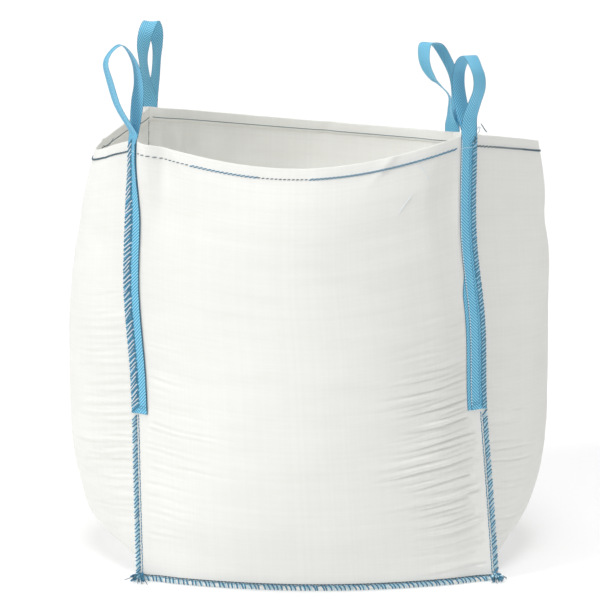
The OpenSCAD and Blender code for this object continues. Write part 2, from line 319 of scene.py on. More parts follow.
def creases():
    """Each crease's side and end, then all that crease() takes: they are deepest half way up."""
    draw = np.random.default_rng(5)
    found = []
    for side, end, lowest, highest, reach, spacing, depth, rise in GATHERS:
        for height in np.arange(lowest, highest, spacing):
            height += spacing * draw.uniform(-0.35, 0.35)
            up = (height - lowest) / (highest - lowest)
            strength = math.sin(math.pi * up * 0.80 + 0.45)
            near = 0.006 + 0.040 * draw.random() ** 3
            length = reach * draw.uniform(0.40, 1.0) * lerp(0.5, 1.0, strength)
            slope = rise * lerp(1.45, 0.50, up) * draw.uniform(0.85, 1.15)
            found.append((side, end, near, height, length, slope, draw.uniform(0.0034, 0.0056),
                          depth * draw.uniform(0.35, 1.0) * strength, draw.uniform(0, 6.3)))
    return found


CREASES = creases()


def crease(d, z, near, height, length, rise, width, depth, phase):
    """A valley with a soft shoulder above and below it, d in from the seam and z up."""
    t = (d - near) / length
    along = smooth(t / 0.05) * smooth((1 - t) / 0.60)
    middle = height - rise * d + 0.0012 * np.sin(d * 38 + phase)
    off = (z - middle) / width
    shape = 0.55 * np.exp(-((off - 1.8) / 1.5) ** 2) + 0.40 * np.exp(-((off + 1.9) / 1.6) ** 2)
    return depth * along * (shape - np.exp(-off**2))


def flat_edge(k, v):
    """How wide wall k lies flat beside its seams: hardly at all, except under a strap."""
    if k % 2:
        return 0.004
    foot = min(SEAM_TOP[k], SEAM_TOP[k + 1]) - TAIL_LEN
    return lerp(0.004, 0.022, smooth((v * BAG_H - foot + 0.07) / 0.06))


def folds(k, u, v):
    """How far the cloth of wall k stands out from its smooth shape."""
    length = float(np.linalg.norm(corner(k, 0.5) - corner(k + 1, 0.5)))
    a, z = u * length, v * BAG_H
    from_seam = np.minimum(a, length - a)
    out = np.empty(np.shape(u))
    for i in np.ndindex(*np.shape(u)):
        out[i] = sum(height * noise.noise(Vector((a[i] * along, z[i] * up, 11.0 * k + place)))
                     for along, up, place, height in WAVES)
    for side, end, *place in CREASES:
        if side == k:
            out += crease(length - a if end else a, z, *place)
    for side, at_u, at_v, along, up, depth in DENTS:
        if side == k:
            out -= depth * np.exp(-((a - at_u * length) / along) ** 2 - ((v - at_v) / up) ** 2)
    inside = smooth((from_seam - flat_edge(k, v)) / 0.02)
    out *= inside * smooth(v / 0.035) * smooth((1 - v) / 0.05)
    for side, at_u, slant, width, reach, height in HEM_CREASES:
        if side == k:
            down = (1 - v) * BAG_H
            off = a - at_u * length - slant * down
            out += height * np.exp(-((off / width) ** 2) - (down / reach) ** 2)
    return out


# ---- Meshes ----


def placed(name, data):
    """An object in the scene for a mesh, a camera or a light."""
    obj = bpy.data.objects.new(name, data)
    bpy.context.scene.collection.objects.link(obj)
    return obj


def add_mesh(name, points, faces, uv=None, materials=(), face_material=None):
    """A smooth-shaded object from points and faces, with its material places in metres as UV."""
    mesh = bpy.data.meshes.new(name)
    mesh.from_pydata(np.asarray(points).tolist(), [], [list(map(int, f)) for f in faces])
    if uv is not None:
        layer = mesh.uv_layers.new(name="weave")
        index = np.empty(len(mesh.loops), np.int32)
        mesh.loops.foreach_get("vertex_index", index)
        layer.data.foreach_set("uv", uv[index].astype(np.float32).ravel())
    for m in materials:
        mesh.materials.append(m)
    if face_material is not None:
        mesh.polygons.foreach_set("material_index", np.asarray(face_material, np.int32))
    mesh.polygons.foreach_set("use_smooth", np.ones(len(mesh.polygons), bool))
    mesh.update()
    return placed(name, mesh)


def plate(rows, cols, ring=False):
    """Faces of a closed sheet whose top grid comes before its bottom grid."""
    half = rows * cols
    g = np.arange(half).reshape(rows, cols)
    if ring:
        g = np.concatenate([g, g[:, :1]], 1)
    top = np.stack([g[:-1, :-1], g[:-1, 1:], g[1:, 1:], g[1:, :-1]], -1).reshape(-1, 4)
    edges = ([] if ring else [g[::-1, 0], g[:, -1]]) + [g[0], g[-1, ::-1]]
    sides = [np.stack([e[1:], e[:-1], e[:-1] + half, e[1:] + half], -1) for e in edges]
    return np.concatenate([top, top[:, ::-1] + half, *sides])


def cloth(name, grid, uv, material, ring=False, face_out=1.0):
    """A woven sheet of real thickness along a grid of points."""
    if ring:
        wrapped = np.concatenate([grid[:, -1:], grid, grid[:, :1]], 1)
        normals = grid_normals(wrapped)[:, 1:-1]
    else:
        normals = grid_normals(grid)
    half = normals * (CLOTH_T / 2 * face_out)
    rows, cols = grid.shape[:2]
    points = np.concatenate([(grid + half).reshape(-1, 3), (grid - half).reshape(-1, 3)])
    faces = plate(rows, cols, ring)
    if face_out > 0:
        faces = faces[:, ::-1]
    both = np.concatenate([uv.reshape(-1, 2)] * 2)
    return add_mesh(name, points, faces, both, [material])


def tubes(paths, radius, sides=6):
    """Points and faces of round threads along paths (m, n, 3), rounded off at their ends."""
    paths = np.asarray(paths, float)
    m, n = paths.shape[:2]
    tangent = unit(np.gradient(paths, axis=1))
    side = unit(np.cross(tangent, np.broadcast_to([0.31, 0.17, 0.93], tangent.shape)))
    other = np.cross(side, tangent)
    steps = run_length(paths)
    near_end = np.minimum(steps, steps[:, -1:] - steps)
    taper = np.sqrt(np.clip(near_end / np.maximum(radius, 1e-6), 0.09, 1.0))
    angle = np.arange(sides) * 2 * np.pi / sides
    ring = side[:, :, None] * np.cos(angle)[:, None] + other[:, :, None] * np.sin(angle)[:, None]
    points = paths[:, :, None] + ring * (radius * taper)[..., None, None]
    g = np.arange(m * n * sides).reshape(m, n, sides)
    a, b = g[:, :-1], g[:, 1:]
    quads = np.stack([a, b, np.roll(b, -1, 2), np.roll(a, -1, 2)], -1).reshape(-1, 4)
    return points.reshape(-1, 3), [*quads, *g[:, 0], *g[:, -1, ::-1]]


def threads(name, groups, *nodes):
    """One piece from groups of (paths, radius, material), standing for CAD nodes: real threads."""
    points, faces, which, materials = [], [], [], []
    count = 0
    for paths, radius, material in groups:
        p, f = tubes(paths, radius)
        points.append(p)
        faces += [np.asarray(q) + count for q in f]
        if material not in materials:
            materials.append(material)
        which += [materials.index(material)] * len(f)
        count += len(p)
    obj = add_mesh(name, np.concatenate(points), faces, None, materials, which)
    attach(obj, "bag")
    if nodes:
        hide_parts(*nodes)


def rounded(paths, samples):
    """Paths (m, n, 3) with a smooth curve put through their points."""
    paths = np.asarray(paths, float)
    s = np.arange(paths.shape[1])
    at = np.linspace(0, s[-1], samples)
    return np.moveaxis(through(np.moveaxis(paths, 1, 0), s, at), 0, 1)


# ---- Materials ----


class Nodes:
    """Short names for building a material's nodes."""

    def __init__(self, name, roughness, specular):
        self.material = bpy.data.materials.new(name)
        self.material.use_nodes = True
        self.tree = self.material.node_tree
        self.shader = self.tree.nodes["Principled BSDF"]
        self.shader.inputs["Roughness"].default_value = roughness
        self.shader.inputs["Specular IOR Level"].default_value = specular

    def node(self, kind, **inputs):
        made = self.tree.nodes.new(kind)
        for key, value in inputs.items():
            self.put(made.inputs[key], value)
        return made

    def put(self, socket, value):
        if isinstance(value, bpy.types.NodeSocket):
            self.tree.links.new(value, socket)
        else:
            socket.default_value = value

    def math(self, operation, a, b=0.0, c=0.0):
        made = self.tree.nodes.new("ShaderNodeMath")
        made.operation = operation
        for socket, value in zip(made.inputs, (a, b, c)):
            self.put(socket, value)
        return made.outputs[0]

    def mix(self, factor, a, b):
        made = self.tree.nodes.new("ShaderNodeMix")
        made.data_type = "RGBA"
        self.put(made.inputs["Factor"], factor)
        self.put(made.inputs["A"], a)
        self.put(made.inputs["B"], b)
        return made.outputs["Result"]

    def noise(self, vector, scale, detail=2.0, rough=0.5):
        made = self.node("ShaderNodeTexNoise", Scale=scale, Detail=detail, Roughness=rough)
        self.put(made.inputs["Vector"], vector)
        return made.outputs["Fac"]

    def each_line(self, number):
        """A value of its own for each whole number."""
        made = self.tree.nodes.new("ShaderNodeTexWhiteNoise")
        made.noise_dimensions = "1D"
        self.put(made.inputs["W"], number)
        return made.outputs["Value"]

    def either(self, which, zero, one):
        """The value zero where which is 0, and one where it is 1."""
        rest = self.math("SUBTRACT", 1.0, which)
        return self.math("MULTIPLY_ADD", one, which, self.math("MULTIPLY", zero, rest))

    def weave_place(self):
        """The two distances along the cloth, in metres."""
        place = self.tree.nodes.new("ShaderNodeUVMap")
        place.uv_map = "weave"
        split = self.node("ShaderNodeSeparateXYZ", Vector=place.outputs["UV"])
        return place.outputs["UV"], split.outputs["X"], split.outputs["Y"]

    def place(self):
        return self.tree.nodes.new("ShaderNodeTexCoord").outputs["Object"]

    def scaled(self, vector, factors):
        made = self.tree.nodes.new("ShaderNodeVectorMath")
        made.operation = "MULTIPLY"
        self.put(made.inputs[0], vector)
        made.inputs[1].default_value = factors
        return made.outputs[0]

    def bump(self, height, distance, strength=1.0):
        made = self.node("ShaderNodeBump", Height=height, Distance=distance, Strength=strength)
        self.tree.links.new(made.outputs["Normal"], self.shader.inputs["Normal"])

    def colour(self, value):
        self.put(self.shader.inputs["Base Color"], value)


def srgb(r, g, b):
    """A colour given as it looks on a screen, from 0 to 255."""
    shares = [x / 255 for x in (r, g, b)]
    return (*(x / 12.92 if x < 0.04 else ((x + 0.055) / 1.055) ** 2.4 for x in shares), 1.0)


TAPE_W = 0.0027  # width of the flat tapes that the fabric is woven from


def woven_fabric():
    """White woven tape fabric: over and under tapes, a few of them duller, and faint soiling."""
    n = Nodes("white_woven_fabric", 0.58, 0.30)
    _, x, y = n.weave_place()
    across, up = n.math("DIVIDE", x, TAPE_W), n.math("DIVIDE", y, TAPE_W)
    cell_x, cell_y = n.math("FLOOR", across), n.math("FLOOR", up)
    warp_over = n.math("PINGPONG", n.math("ADD", cell_x, cell_y), 1.0)
    crown = n.either(warp_over, n.math("PINGPONG", up, 0.5), n.math("PINGPONG", across, 0.5))
    tape = n.either(warp_over, n.each_line(n.math("ADD", cell_y, 0.37)), n.each_line(cell_x))
    cloudy = n.noise(n.place(), 3.0, 4.0)
    soil = n.noise(n.scaled(n.place(), (1.0, 1.0, 5.0)), 6.0, 5.0, 0.6)
    shade = n.math("MULTIPLY_ADD", tape, 0.22, n.math("MULTIPLY", cloudy, 0.78))
    base = n.mix(shade, srgb(224, 224, 220), srgb(242, 242, 238))
    soiled = n.math("MULTIPLY", n.math("SUBTRACT", soil, 0.45), 0.40)
    n.colour(n.mix(soiled, base, srgb(212, 210, 201)))
    n.bump(n.math("ADD", crown, n.math("MULTIPLY", soil, 0.5)), 0.0005, 0.55)
    return n.material


RIB_PITCH = 0.0072  # along the webbing, from rib to rib
BAND_W = STRAP_W / 2  # the herringbone turns back at the middle of the webbing
RIB_SLOPE = 1.25  # length along for each length across
SHADE_EDGE_W = 0.0016  # width of the band at each edge of the webbing darkened as painted shade
YARN_W = 0.0012  # from yarn to yarn across it


def webbing():
    """Blue herringbone webbing: slanting ribs of light and dark yarn, plain edges darkened as
    painted shade.
    """
    n = Nodes("blue_webbing", 0.52, 0.35)
    uv, across, along = n.weave_place()
    zig = n.math("PINGPONG", across, BAND_W)
    slant = n.math("MULTIPLY_ADD", zig, RIB_SLOPE, along)
    wave = n.math("SINE", n.math("MULTIPLY", slant, 2 * math.pi / RIB_PITCH))
    clipped = n.math("MINIMUM", n.math("MAXIMUM", n.math("MULTIPLY", wave, 1.8), -1.0), 1.0)
    rib = n.math("MULTIPLY_ADD", clipped, 0.5, 0.5)
    yarn = n.math("PINGPONG", n.math("DIVIDE", slant, RIB_PITCH / 6), 1.0)
    cross = n.math("PINGPONG", n.math("DIVIDE", across, YARN_W), 1.0)
    fuzz = n.noise(n.scaled(uv, (700.0, 260.0, 1.0)), 1.0, 3.0, 0.6)
    worn = n.noise(uv, 35.0, 4.0, 0.6)
    fine = n.math("MULTIPLY_ADD", yarn, 0.10, n.math("MULTIPLY", fuzz, 0.22))
    light = n.math("MULTIPLY_ADD", rib, 0.72, fine)
    base = n.mix(light, srgb(36, 128, 174), srgb(154, 226, 250))
    base = n.mix(n.math("MULTIPLY", worn, 0.20), base, srgb(88, 170, 208))
    # Painted shade: the colour darkens towards both edges of the webbing, where its edge turns
    # away from the light.
    from_middle = n.math("ABSOLUTE", n.math("SUBTRACT", across, STRAP_W / 2))
    edge = n.math("SUBTRACT", n.math("DIVIDE", from_middle, SHADE_EDGE_W), STRAP_W / 2 / SHADE_EDGE_W - 1)
    n.colour(n.mix(n.math("MULTIPLY", n.math("MAXIMUM", edge, 0.0), 0.9), base, srgb(28, 84, 116)))
    height = n.math("ADD", n.math("MULTIPLY", yarn, 0.7), n.math("MULTIPLY", cross, 0.5))
    n.bump(n.math("ADD", height, fuzz), 0.0004, 0.8)
    return n.material


def sewing_thread(name, dark, light):
    """Twisted sewing thread, a little uneven in colour."""
    n = Nodes(name, 0.5, 0.4)
    place = n.place()
    wave = n.node("ShaderNodeTexWave", Scale=190.0, Distortion=3.0, Detail=2.0)
    wave.bands_direction = "DIAGONAL"
    n.put(wave.inputs["Vector"], place)
    patch = n.math("MULTIPLY", n.noise(place, 160.0, 3.0, 0.6), 0.6)
    n.colour(n.mix(n.math("MULTIPLY_ADD", wave.outputs["Fac"], 0.45, patch), dark, light))
    n.bump(wave.outputs["Fac"], 0.0004, 0.7)
    return n.material


FABRIC = woven_fabric()
WEBBING = webbing()
THREAD = sewing_thread("blue_thread", srgb(30, 88, 118), srgb(92, 158, 190))
PALE_THREAD = sewing_thread("pale_blue_thread", srgb(146, 204, 224), srgb(224, 244, 250))
DARK_THREAD = sewing_thread("dark_thread", srgb(34, 60, 74), srgb(84, 116, 130))
WHITE_THREAD = sewing_thread("white_thread", srgb(214, 226, 232), srgb(246, 250, 252))

# ---- The cloth panels ----

COLUMNS = 104  # across a wall
ROWS = 390  # up a wall
ROW_POWER = 1.3  # rows lie closer together at the rounded foot
HEM_TURN = 0.0011  # radius of the fold at the rim
HEM_IN = 0.031  # how far the turned hem reaches down inside


def spread_columns(count):
    """Places along a wall, closer together near its seams."""
    t = np.linspace(0, 1, count + 1)
    return lerp(t, smooth(t), 0.55)


def allowance(c, edge, vs, shares):
    """Columns of cloth standing out from edge, the corner seam c, along its seam allowance."""
    out = upright(fin_dir(c, vs) * FIN_W)
    return np.stack([edge + out * share for share in shares], 1)


def panel_grid(k):
    """The cloth of wall k: base allowance, wall, turned hem, and an allowance at each end."""
    us, vs = spread_columns(COLUMNS), np.linspace(0, 1, ROWS + 1) ** ROW_POWER
    u, v = np.meshgrid(us, vs)
    g = wall(k, u, v)
    g += grid_normals(g) * folds(k, u, v)[..., None]
    left = allowance(k, g[:, 0], vs, (1.0, 0.62, 0.28))
    right = allowance(k + 1, g[:, -1], vs, (0.28, 0.62, 1.0))
    g = np.concatenate([left, g, right], 1)
    n = grid_normals(g)
    g = g + n * (GAP + CLOTH_T) / 2
    # The rim: over the fold and down inside.
    top, out, down = g[-1], n[-1], unit(g[-2] - g[-1])
    hem = []
    for degrees in (30, 90, 150):
        a = math.radians(degrees)
        hem.append(top - out * HEM_TURN * (1 - math.cos(a)) - down * HEM_TURN * math.sin(a))
    for d in (0.0, 0.006, 0.012, 0.018, 0.024, HEM_IN):
        v_in = 1 - d / BAG_H
        i = int(np.clip(np.searchsorted(vs, v_in) - 1, 0, len(vs) - 2))
        t = (v_in - vs[i]) / (vs[i + 1] - vs[i])
        hem.append(lerp(g[i], g[i + 1], t) - lerp(n[i], n[i + 1], t) * 2 * HEM_TURN)
    # The base: the allowance turns out and down to the floor.
    plan_out = unit(n[0] * [1, 1, 0])
    flange = [g[0] + flange_step(plan_out, share) for share in (1.0, 0.66, 0.3)]
    return np.concatenate([np.array(flange), g, np.array(hem)], 0)


def flange_step(plan_out, share):
    """From the base seam out and down over the base allowance."""
    run = math.sqrt(FLANGE_W**2 - FLANGE_DROP**2)
    return plan_out * run * share - np.array([0, 0, FLANGE_DROP]) * share


def panel(k):
    """Wall k, its weave laid out by distance along the cloth."""
    grid = panel_grid(k)
    rows, cols = grid.shape[:2]
    across = run_length(grid[rows // 2])
    up = run_length(grid[:, cols // 2])
    uv = np.stack(np.meshgrid(across, up), -1)
    obj = cloth(f"cloth_{SIDES[k]}", grid, uv, FABRIC)
    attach(obj, "bag")
    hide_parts(f"panel_{SIDES[k]}")


def base_ring():
    """The base seam all round, and the plan direction out of it."""
    us = spread_columns(COLUMNS)[:-1]
    ring = np.concatenate([wall(k, us, np.zeros_like(us)) for k in range(4)])
    along = np.roll(ring, -1, 0) - np.roll(ring, 1, 0)
    return ring, right_of(along)


def base():
    """The base panel: flat on the floor and up to the seam, its allowance turned down outside."""
    ring, out = base_ring()
    under = -(GAP + CLOTH_T) / 2
    floor = CLOTH_T / 2 + 0.0002
    lines = [ring + flange_step(out, share) + [0, 0, under] for share in (1.0, 0.6, 0.0)]
    for share in [*np.linspace(0.01, 0.09, 9), *np.linspace(0.15, 0.998, 12)]:
        p = ring * (1 - share)
        lift = (SEAM_LIFT + under) * (1 - smooth(share / 0.09))
        bumps = np.array([noise.noise(Vector((x * 7, y * 7, 3.3))) for x, y in p[:, :2]])
        p[:, 2] = floor + lift + 0.0006 * (bumps + 1) * smooth(share / 0.2)
        lines.append(p)
    grid = np.array(lines)
    grid[..., 2] = np.maximum(grid[..., 2], floor)
    obj = cloth("cloth_base", grid, grid[..., :2] + 0.5, FABRIC, ring=True, face_out=-1.0)
    mesh = bmesh.new()
    mesh.from_mesh(obj.data)
    mesh.verts.ensure_lookup_table()
    # The innermost ring of each face closes in a point.
    rows, cols = grid.shape[:2]
    for end in (rows * cols, 2 * rows * cols):
        inner = mesh.verts[end - cols:end]
        middle = sum((v.co for v in inner), Vector()) / len(inner)
        for v in inner:
            v.co = middle
    bmesh.ops.remove_doubles(mesh, verts=mesh.verts, dist=1e-7)
    mesh.to_mesh(obj.data)
    mesh.free()
    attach(obj, "bag")
    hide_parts("base_panel")


# ---- The straps ----

ACROSS = 18  # cells across the webbing
ALONG = 0.0016  # cell length along it
RIB_H = 0.0004  # how high the ribs stand
INNER_LIFT = GAP / 2 + CLOTH_T + 2 * GAP + STRAP_T / 2
OUTER_LIFT = INNER_LIFT + STRAP_T + GAP
# The under tail at the front right has slipped sideways: [below this share of the height, by].
SLIPS = {1: [0.70, 0.0085]}

# Each loop's run from its front leg round to its back leg, from the bending line:
# [across, depth, up, turn of the webbing in plan in degrees], in millimetres.
LOOP_RUN = [
    [[-8, -9, 22, -60], [-21, -16, 44, -60], [-37, -20, 76, -61], [-52, -19, 126, -62],
     [-61, -14, 162, -68], [-51, -7, 187, -75], [-29, 0, 203, -74], [-11, 7, 188, -70],
     [4, 12, 156, -62], [10, 14, 116, -50], [7, 13, 78, -38], [3, 8, 40, -44]],
    [[2, -7, 36, 24], [10, -24, 66, 32], [19, -42, 98, 38], [19, -48, 126, 40],
     [11, -42, 150, 40], [0, -12, 170, 36], [-12, 22, 160, 34], [-20, 44, 134, 38],
     [-22, 42, 104, 38], [-18, 32, 70, 34], [-11, 14, 36, 28]],
    [[-3, -9, 24, -50], [-6, -15, 48, -72], [-9, -22, 86, -82], [-32, -24, 113, -78],
     [-50, -22, 131, -60], [-65, -18, 156, -50], [-71, -12, 184, -42], [-66, -2, 212, -34],
     [-38, 14, 208, -34], [-14, 24, 172, -42], [4, 28, 130, -50], [8, 22, 90, -60],
     [5, 12, 50, -62], [2, 7, 26, -46]],
    [[-5, -8, 36, 44], [-11, -20, 72, 56], [-15, -28, 112, 57], [-15, -28, 148, 34],
     [-8, -22, 182, 14], [4, 0, 204, 4], [13, 22, 182, 14], [17, 28, 148, 44],
     [15, 29, 110, 57], [12, 21, 70, 56], [6, 9, 34, 43]],
]
HINGES = {joint["child"]: np.array(joint["pos_m"]) for joint in frame["joints"]}
STRAP_ACROSS = np.linspace(-STRAP_W / 2, STRAP_W / 2, ACROSS + 1)


def hinge(c):
    return HINGES[f"loop_{CORNERS[c]}"]


def tail_rows(c, lift, slip):
    """Rows across a sewn tail, from its lower end up to just under the rim."""
    top = SEAM_TOP[c]
    heights = np.linspace(top - TAIL_LEN, top - 0.008, 52)[:, None]
    s = STRAP_ACROSS[None] + STRAP_W / 2 - FIN_W
    if slip and c in SLIPS:
        below, width = SLIPS[c]
        s = s + width * (1 - smooth((up_seam(c, heights) - below + 0.06) / 0.06))
    g = strap_line(c, s, heights)
    g = g[:, ::-across_sign(c)]
    n = grid_normals(g)
    n *= np.sign(n[..., :2] @ OUT[strap_side(c)])[..., None]
    return g + n * lift


def loop_rows(c):
    """Rows across the free loop, from above the rim round and back."""
    a = -across_sign(c) * depth_sign(c) * FIN_ANGLE - ROLL[c]
    n = np.array([math.sin(math.radians(a)), -math.cos(math.radians(a))]) * (STRAP_T + GAP) / 2
    # Both legs start upright, 7 mm over the bending line and a little clear of each other.
    p = np.array([[*(n * 1300), 7.0, a], *LOOP_RUN[c], [*(n * -1300), 7.0, a]])
    p[:, :3] /= 1000
    s = np.arange(len(p))
    at = np.linspace(0, s[-1], 8 * (len(p) - 1) + 1)
    q = through(p, s, at)
    tangent = unit(np.gradient(q[:, :3], axis=0))
    turn = np.radians(q[:, 3])
    flat = np.stack([np.cos(turn), np.sin(turn), np.zeros(len(q))], -1)
    wide = unit(flat - tangent * (flat * tangent).sum(-1, keepdims=True))
    return hinge(c) + q[:, None, :3] + wide[:, None] * STRAP_ACROSS[None, :, None]


def strap_grid(c):
    """The middle of the webbing all along the strap, and the distance of each row."""
    outer, inner = tail_rows(c, OUTER_LIFT, False), tail_rows(c, INNER_LIFT, True)
    first, last = (outer, inner)[::-depth_sign(c)]
    rows = np.concatenate([first, loop_rows(c), last[::-1]])
    s = run_length(rows[:, ACROSS // 2])
    at = np.arange(0, s[-1], ALONG)
    return through(rows, s, at), at


def ribs(across, along):
    """The herringbone's relief, from 0 to 1."""
    zig = BAND_W - np.abs(across % (2 * BAND_W) - BAND_W)
    return 0.5 - 0.5 * np.cos(2 * np.pi * (along + zig * RIB_SLOPE) / RIB_PITCH)


def strap(c):
    """The strap of corner c, all one length: a tail, the free loop and the other tail."""
    name = CORNERS[c]
    grid, at = strap_grid(c)
    n = grid_normals(grid)
    across = STRAP_ACROSS
    edge = np.clip((np.abs(across) / (STRAP_W / 2)) ** 8, 0, 1)
    half = STRAP_T / 2 * (1 - 0.55 * edge)
    relief = RIB_H * ribs(across + STRAP_W / 2, at[:, None]) * (1 - edge)
    top = grid + n * (half - RIB_H / 2 + relief)[..., None]
    bottom = grid - n * (half - RIB_H / 2 + relief[:, ::-1])[..., None]
    rows, cols = grid.shape[:2]
    uv = np.stack(np.meshgrid(across + STRAP_W / 2, at), -1).reshape(-1, 2)
    points = np.concatenate([top.reshape(-1, 3), bottom.reshape(-1, 3)])
    obj = add_mesh(f"strap_{name}", points, plate(rows, cols)[:, ::-1],
                   np.concatenate([uv, uv]), [WEBBING])
    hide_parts(f"loop_{name}", f"strap_tail_inner_{name}", f"strap_tail_outer_{name}")
    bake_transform(obj)


# ---- Stitching ----

STITCH_LIFT = 0.0006  # a thread's middle above the surface that it is sewn on


def along_strap(c, s, heights, lift):
    """Points lifted off the wall and the allowance of corner c, s from the seam."""
    out = fin_normal(c, up_seam(c, heights)) * np.asarray(lift)[..., None]
    return strap_line(c, s, heights) + upright(out)


def dashes(start, end, pitch, size, points=5):
    """Distances along a line of stitches, a row for each stitch."""
    return np.arange(start, end, pitch)[:, None] + np.linspace(0, size, points)


def strap_stitches(c):
    """Lockstitch along both edges of the tails, across their end and where the hem crosses."""
    name = CORNERS[c]
    top = SEAM_TOP[c]
    lift = OUTER_LIFT + STRAP_T / 2 + STITCH_LIFT
    edge = STRAP_W - FIN_W  # of the webbing, from the seam
    heights = dashes(top - TAIL_LEN + 0.012, top - 0.012, 0.0062, 0.0046)
    groups = []
    # Along the webbing's inner edge, dark thread at the front left stands for painted shade and
    # white thread at the front right for a painted highlight on the lit edge; the back corners get
    # plain blue thread.
    edge_shade_highlight_thread = {0: DARK_THREAD, 1: WHITE_THREAD}.get(c, THREAD)
    for s, thread, r in ((edge - 0.0016, edge_shade_highlight_thread, 0.0009), (0.0015, THREAD, 0.0006)):
        groups.append((along_strap(c, s, heights, lift), r, thread))
    across = np.linspace(0.003, edge - 0.004, 4)
    for low in (0.012, 0.017):
        spans = across[:-1, None] + np.linspace(0, 0.0042, 5)
        heights = np.full(spans.shape, top - TAIL_LEN + low)
        groups.append((along_strap(c, spans, heights, lift), 0.0006, THREAD))
    spans = np.linspace(-FIN_W + 0.009, edge - 0.006, 5)[:, None] + np.linspace(0, 0.0050, 5)
    slant = 0.10 if across_sign(c) < 0 else -0.06
    crossing = top - HEM_D - 0.004 + (spans - spans.min()) * slant
    groups.append((along_strap(c, spans, crossing, lift), 0.0009, PALE_THREAD))
    threads(f"stitches_strap_{name}", groups, f"strap_stitching_{name}")


def fin_point(c, height, s, face, lift):
    """Points on corner c's allowance, s in from its edge, on the strap's face (1) or not (-1)."""
    height, s = np.broadcast_arrays(np.asarray(height, float), np.asarray(s, float))
    v = np.clip(up_seam(c, height), 0, 1)
    d, n = fin_dir(c, v), fin_normal(c, v)
    plan = corner(c, v) + d * (FIN_W - s)[..., None] + n * (face * np.asarray(lift))[..., None]
    return upright(plan, height)


def fin_lift(c, height):
    """How thick the layers on the strap's face of the allowance are."""
    covered = smooth((np.asarray(height) - (SEAM_TOP[c] - TAIL_LEN)) / 0.004)
    return lerp(GAP / 2 + CLOTH_T, OUTER_LIFT + STRAP_T / 2, covered)


# The overlock at the corners, on the bare allowance, over a strap and over the front left strap:
# pitch, reach in from the edge, rise over that reach, and the two threads' radii.
BARE_OVERLOCK = [0.0096, 0.0108, 0.0112, 0.0016, 0.0014]
STRAP_OVERLOCK = [0.0084, 0.0120, 0.0080, 0.0013, 0.0010]
WIDE_OVERLOCK = [0.0104, 0.0180, 0.0170, 0.0015, 0.0013]
UNDER_REACH = 0.0098  # how far in the stitches reach on the face away from the strap
LOOPER_R = 0.0008  # radius of the thread that zigzags along their inner ends


def zigzag(at, places, shallow, deep, *on_face):
    """The looper thread's path along the inner ends of the stitches."""
    places, depths = np.repeat(places, 2)[1:], np.tile([deep, shallow], len(places))[1:]
    return rounded(at(places, depths, *on_face)[None], 3 * len(places))


def corner_overlock(c):
    """Slanting threads that wrap the edge of corner c's allowance, and its seam's stitches."""
    name = CORNERS[c]
    low, top, under = SEAM_LIFT + 0.001, SEAM_TOP[c] - 0.002, GAP / 2 + CLOTH_T
    tail_foot = SEAM_TOP[c] - TAIL_LEN
    side = across_sign(c)

    def at(height, s, face, lift):
        height = np.clip(height, low, top)
        if face > 0:
            s = np.broadcast_to(s, np.shape(height)) - FIN_W
            return along_strap(c, s, height, fin_lift(c, height) + lift)
        return fin_point(c, height, s, face, under + lift)

    def wraps(heights, reach, rise, r):
        """Threads from the middle of the strap's face over the edge and back on the other face."""
        reach = reach * rng.uniform(0.80, 1.10, len(heights))
        rise = side * rise * rng.uniform(0.75, 1.20, len(heights))
        over = fin_point(c, np.clip(heights + rise, low, top), -0.0009, 1,
                         (fin_lift(c, heights + rise) - under) / 2)
        return rounded(np.stack([
            at(heights, reach, 1, r * 0.4),
            at(heights + rise * 0.3, reach * 0.68, 1, r * 0.9),
            at(heights + rise * 0.85, reach * 0.18, 1, r * 0.8),
            over,
            at(heights + rise, reach * 0.2, -1, r * 0.8),
            at(heights + rise * 0.5, 0.0062, -1, r * 0.9),
            at(heights, UNDER_REACH, -1, r * 0.4),
        ], 1), 17)

    groups = []
    zones = ((low, tail_foot - 0.003, BARE_OVERLOCK, PALE_THREAD),
             (tail_foot + 0.002, top, WIDE_OVERLOCK if c == 0 else STRAP_OVERLOCK,
              WHITE_THREAD if c == 0 else PALE_THREAD))
    for start, end, (pitch, reach, rise, r_dark, r_pale), pale in zones:
        count = int((end - start) / pitch)
        heights = start + pitch * (np.arange(count) + rng.uniform(-0.24, 0.24, count))
        heights = np.clip(heights - min(side, 0) * rise, start, end)
        groups.append((wraps(heights, reach, rise, r_dark), r_dark, THREAD))
        between = heights[:-1] + np.diff(heights) * 0.5
        groups.append((wraps(between, reach * 0.94, rise, r_pale), r_pale, pale))
        for shallow, deep, face, thread in ((reach * 0.7, reach, 1, THREAD),
                                            (0.0066, UNDER_REACH, -1, PALE_THREAD)):
            path = zigzag(at, heights, shallow, deep, face, LOOPER_R)
            groups.append((path, LOOPER_R, thread))
    # The seam's own line of stitching, beside the wall.
    seam_h = dashes(low + 0.004, top - 0.004, 0.0070, 0.0066)
    sway = 0.0004 * np.sin(seam_h * 260)
    bare = seam_h[:, -1] < tail_foot - 0.002
    groups.append((at(seam_h[bare], 0.0146 + sway[bare], 1, 0.0006), 0.0010, THREAD))
    groups.append((at(seam_h, 0.0140 + sway, -1, 0.0006), 0.0008, DARK_THREAD))
    threads(f"overlock_{name}", groups, f"corner_overlock_{name}")


def flange_frame(k, u):
    """Points on the base seam of side k at u, and the slope and the normal of its allowance."""
    e = 1e-3
    p = wall(k, u, np.zeros_like(u))
    along = wall(k, np.clip(u + e, 0, 1), 0 * u) - wall(k, np.clip(u - e, 0, 1), 0 * u)
    down = unit(flange_step(right_of(along), 1.0))
    normal = unit(np.cross(unit(along), down))
    normal *= np.sign(normal[..., 2:])
    return p, down, normal


BASE_PITCH = 0.0103  # from stitch to stitch round the base
BASE_REACH = 0.0104  # how far in from the edge its stitches reach


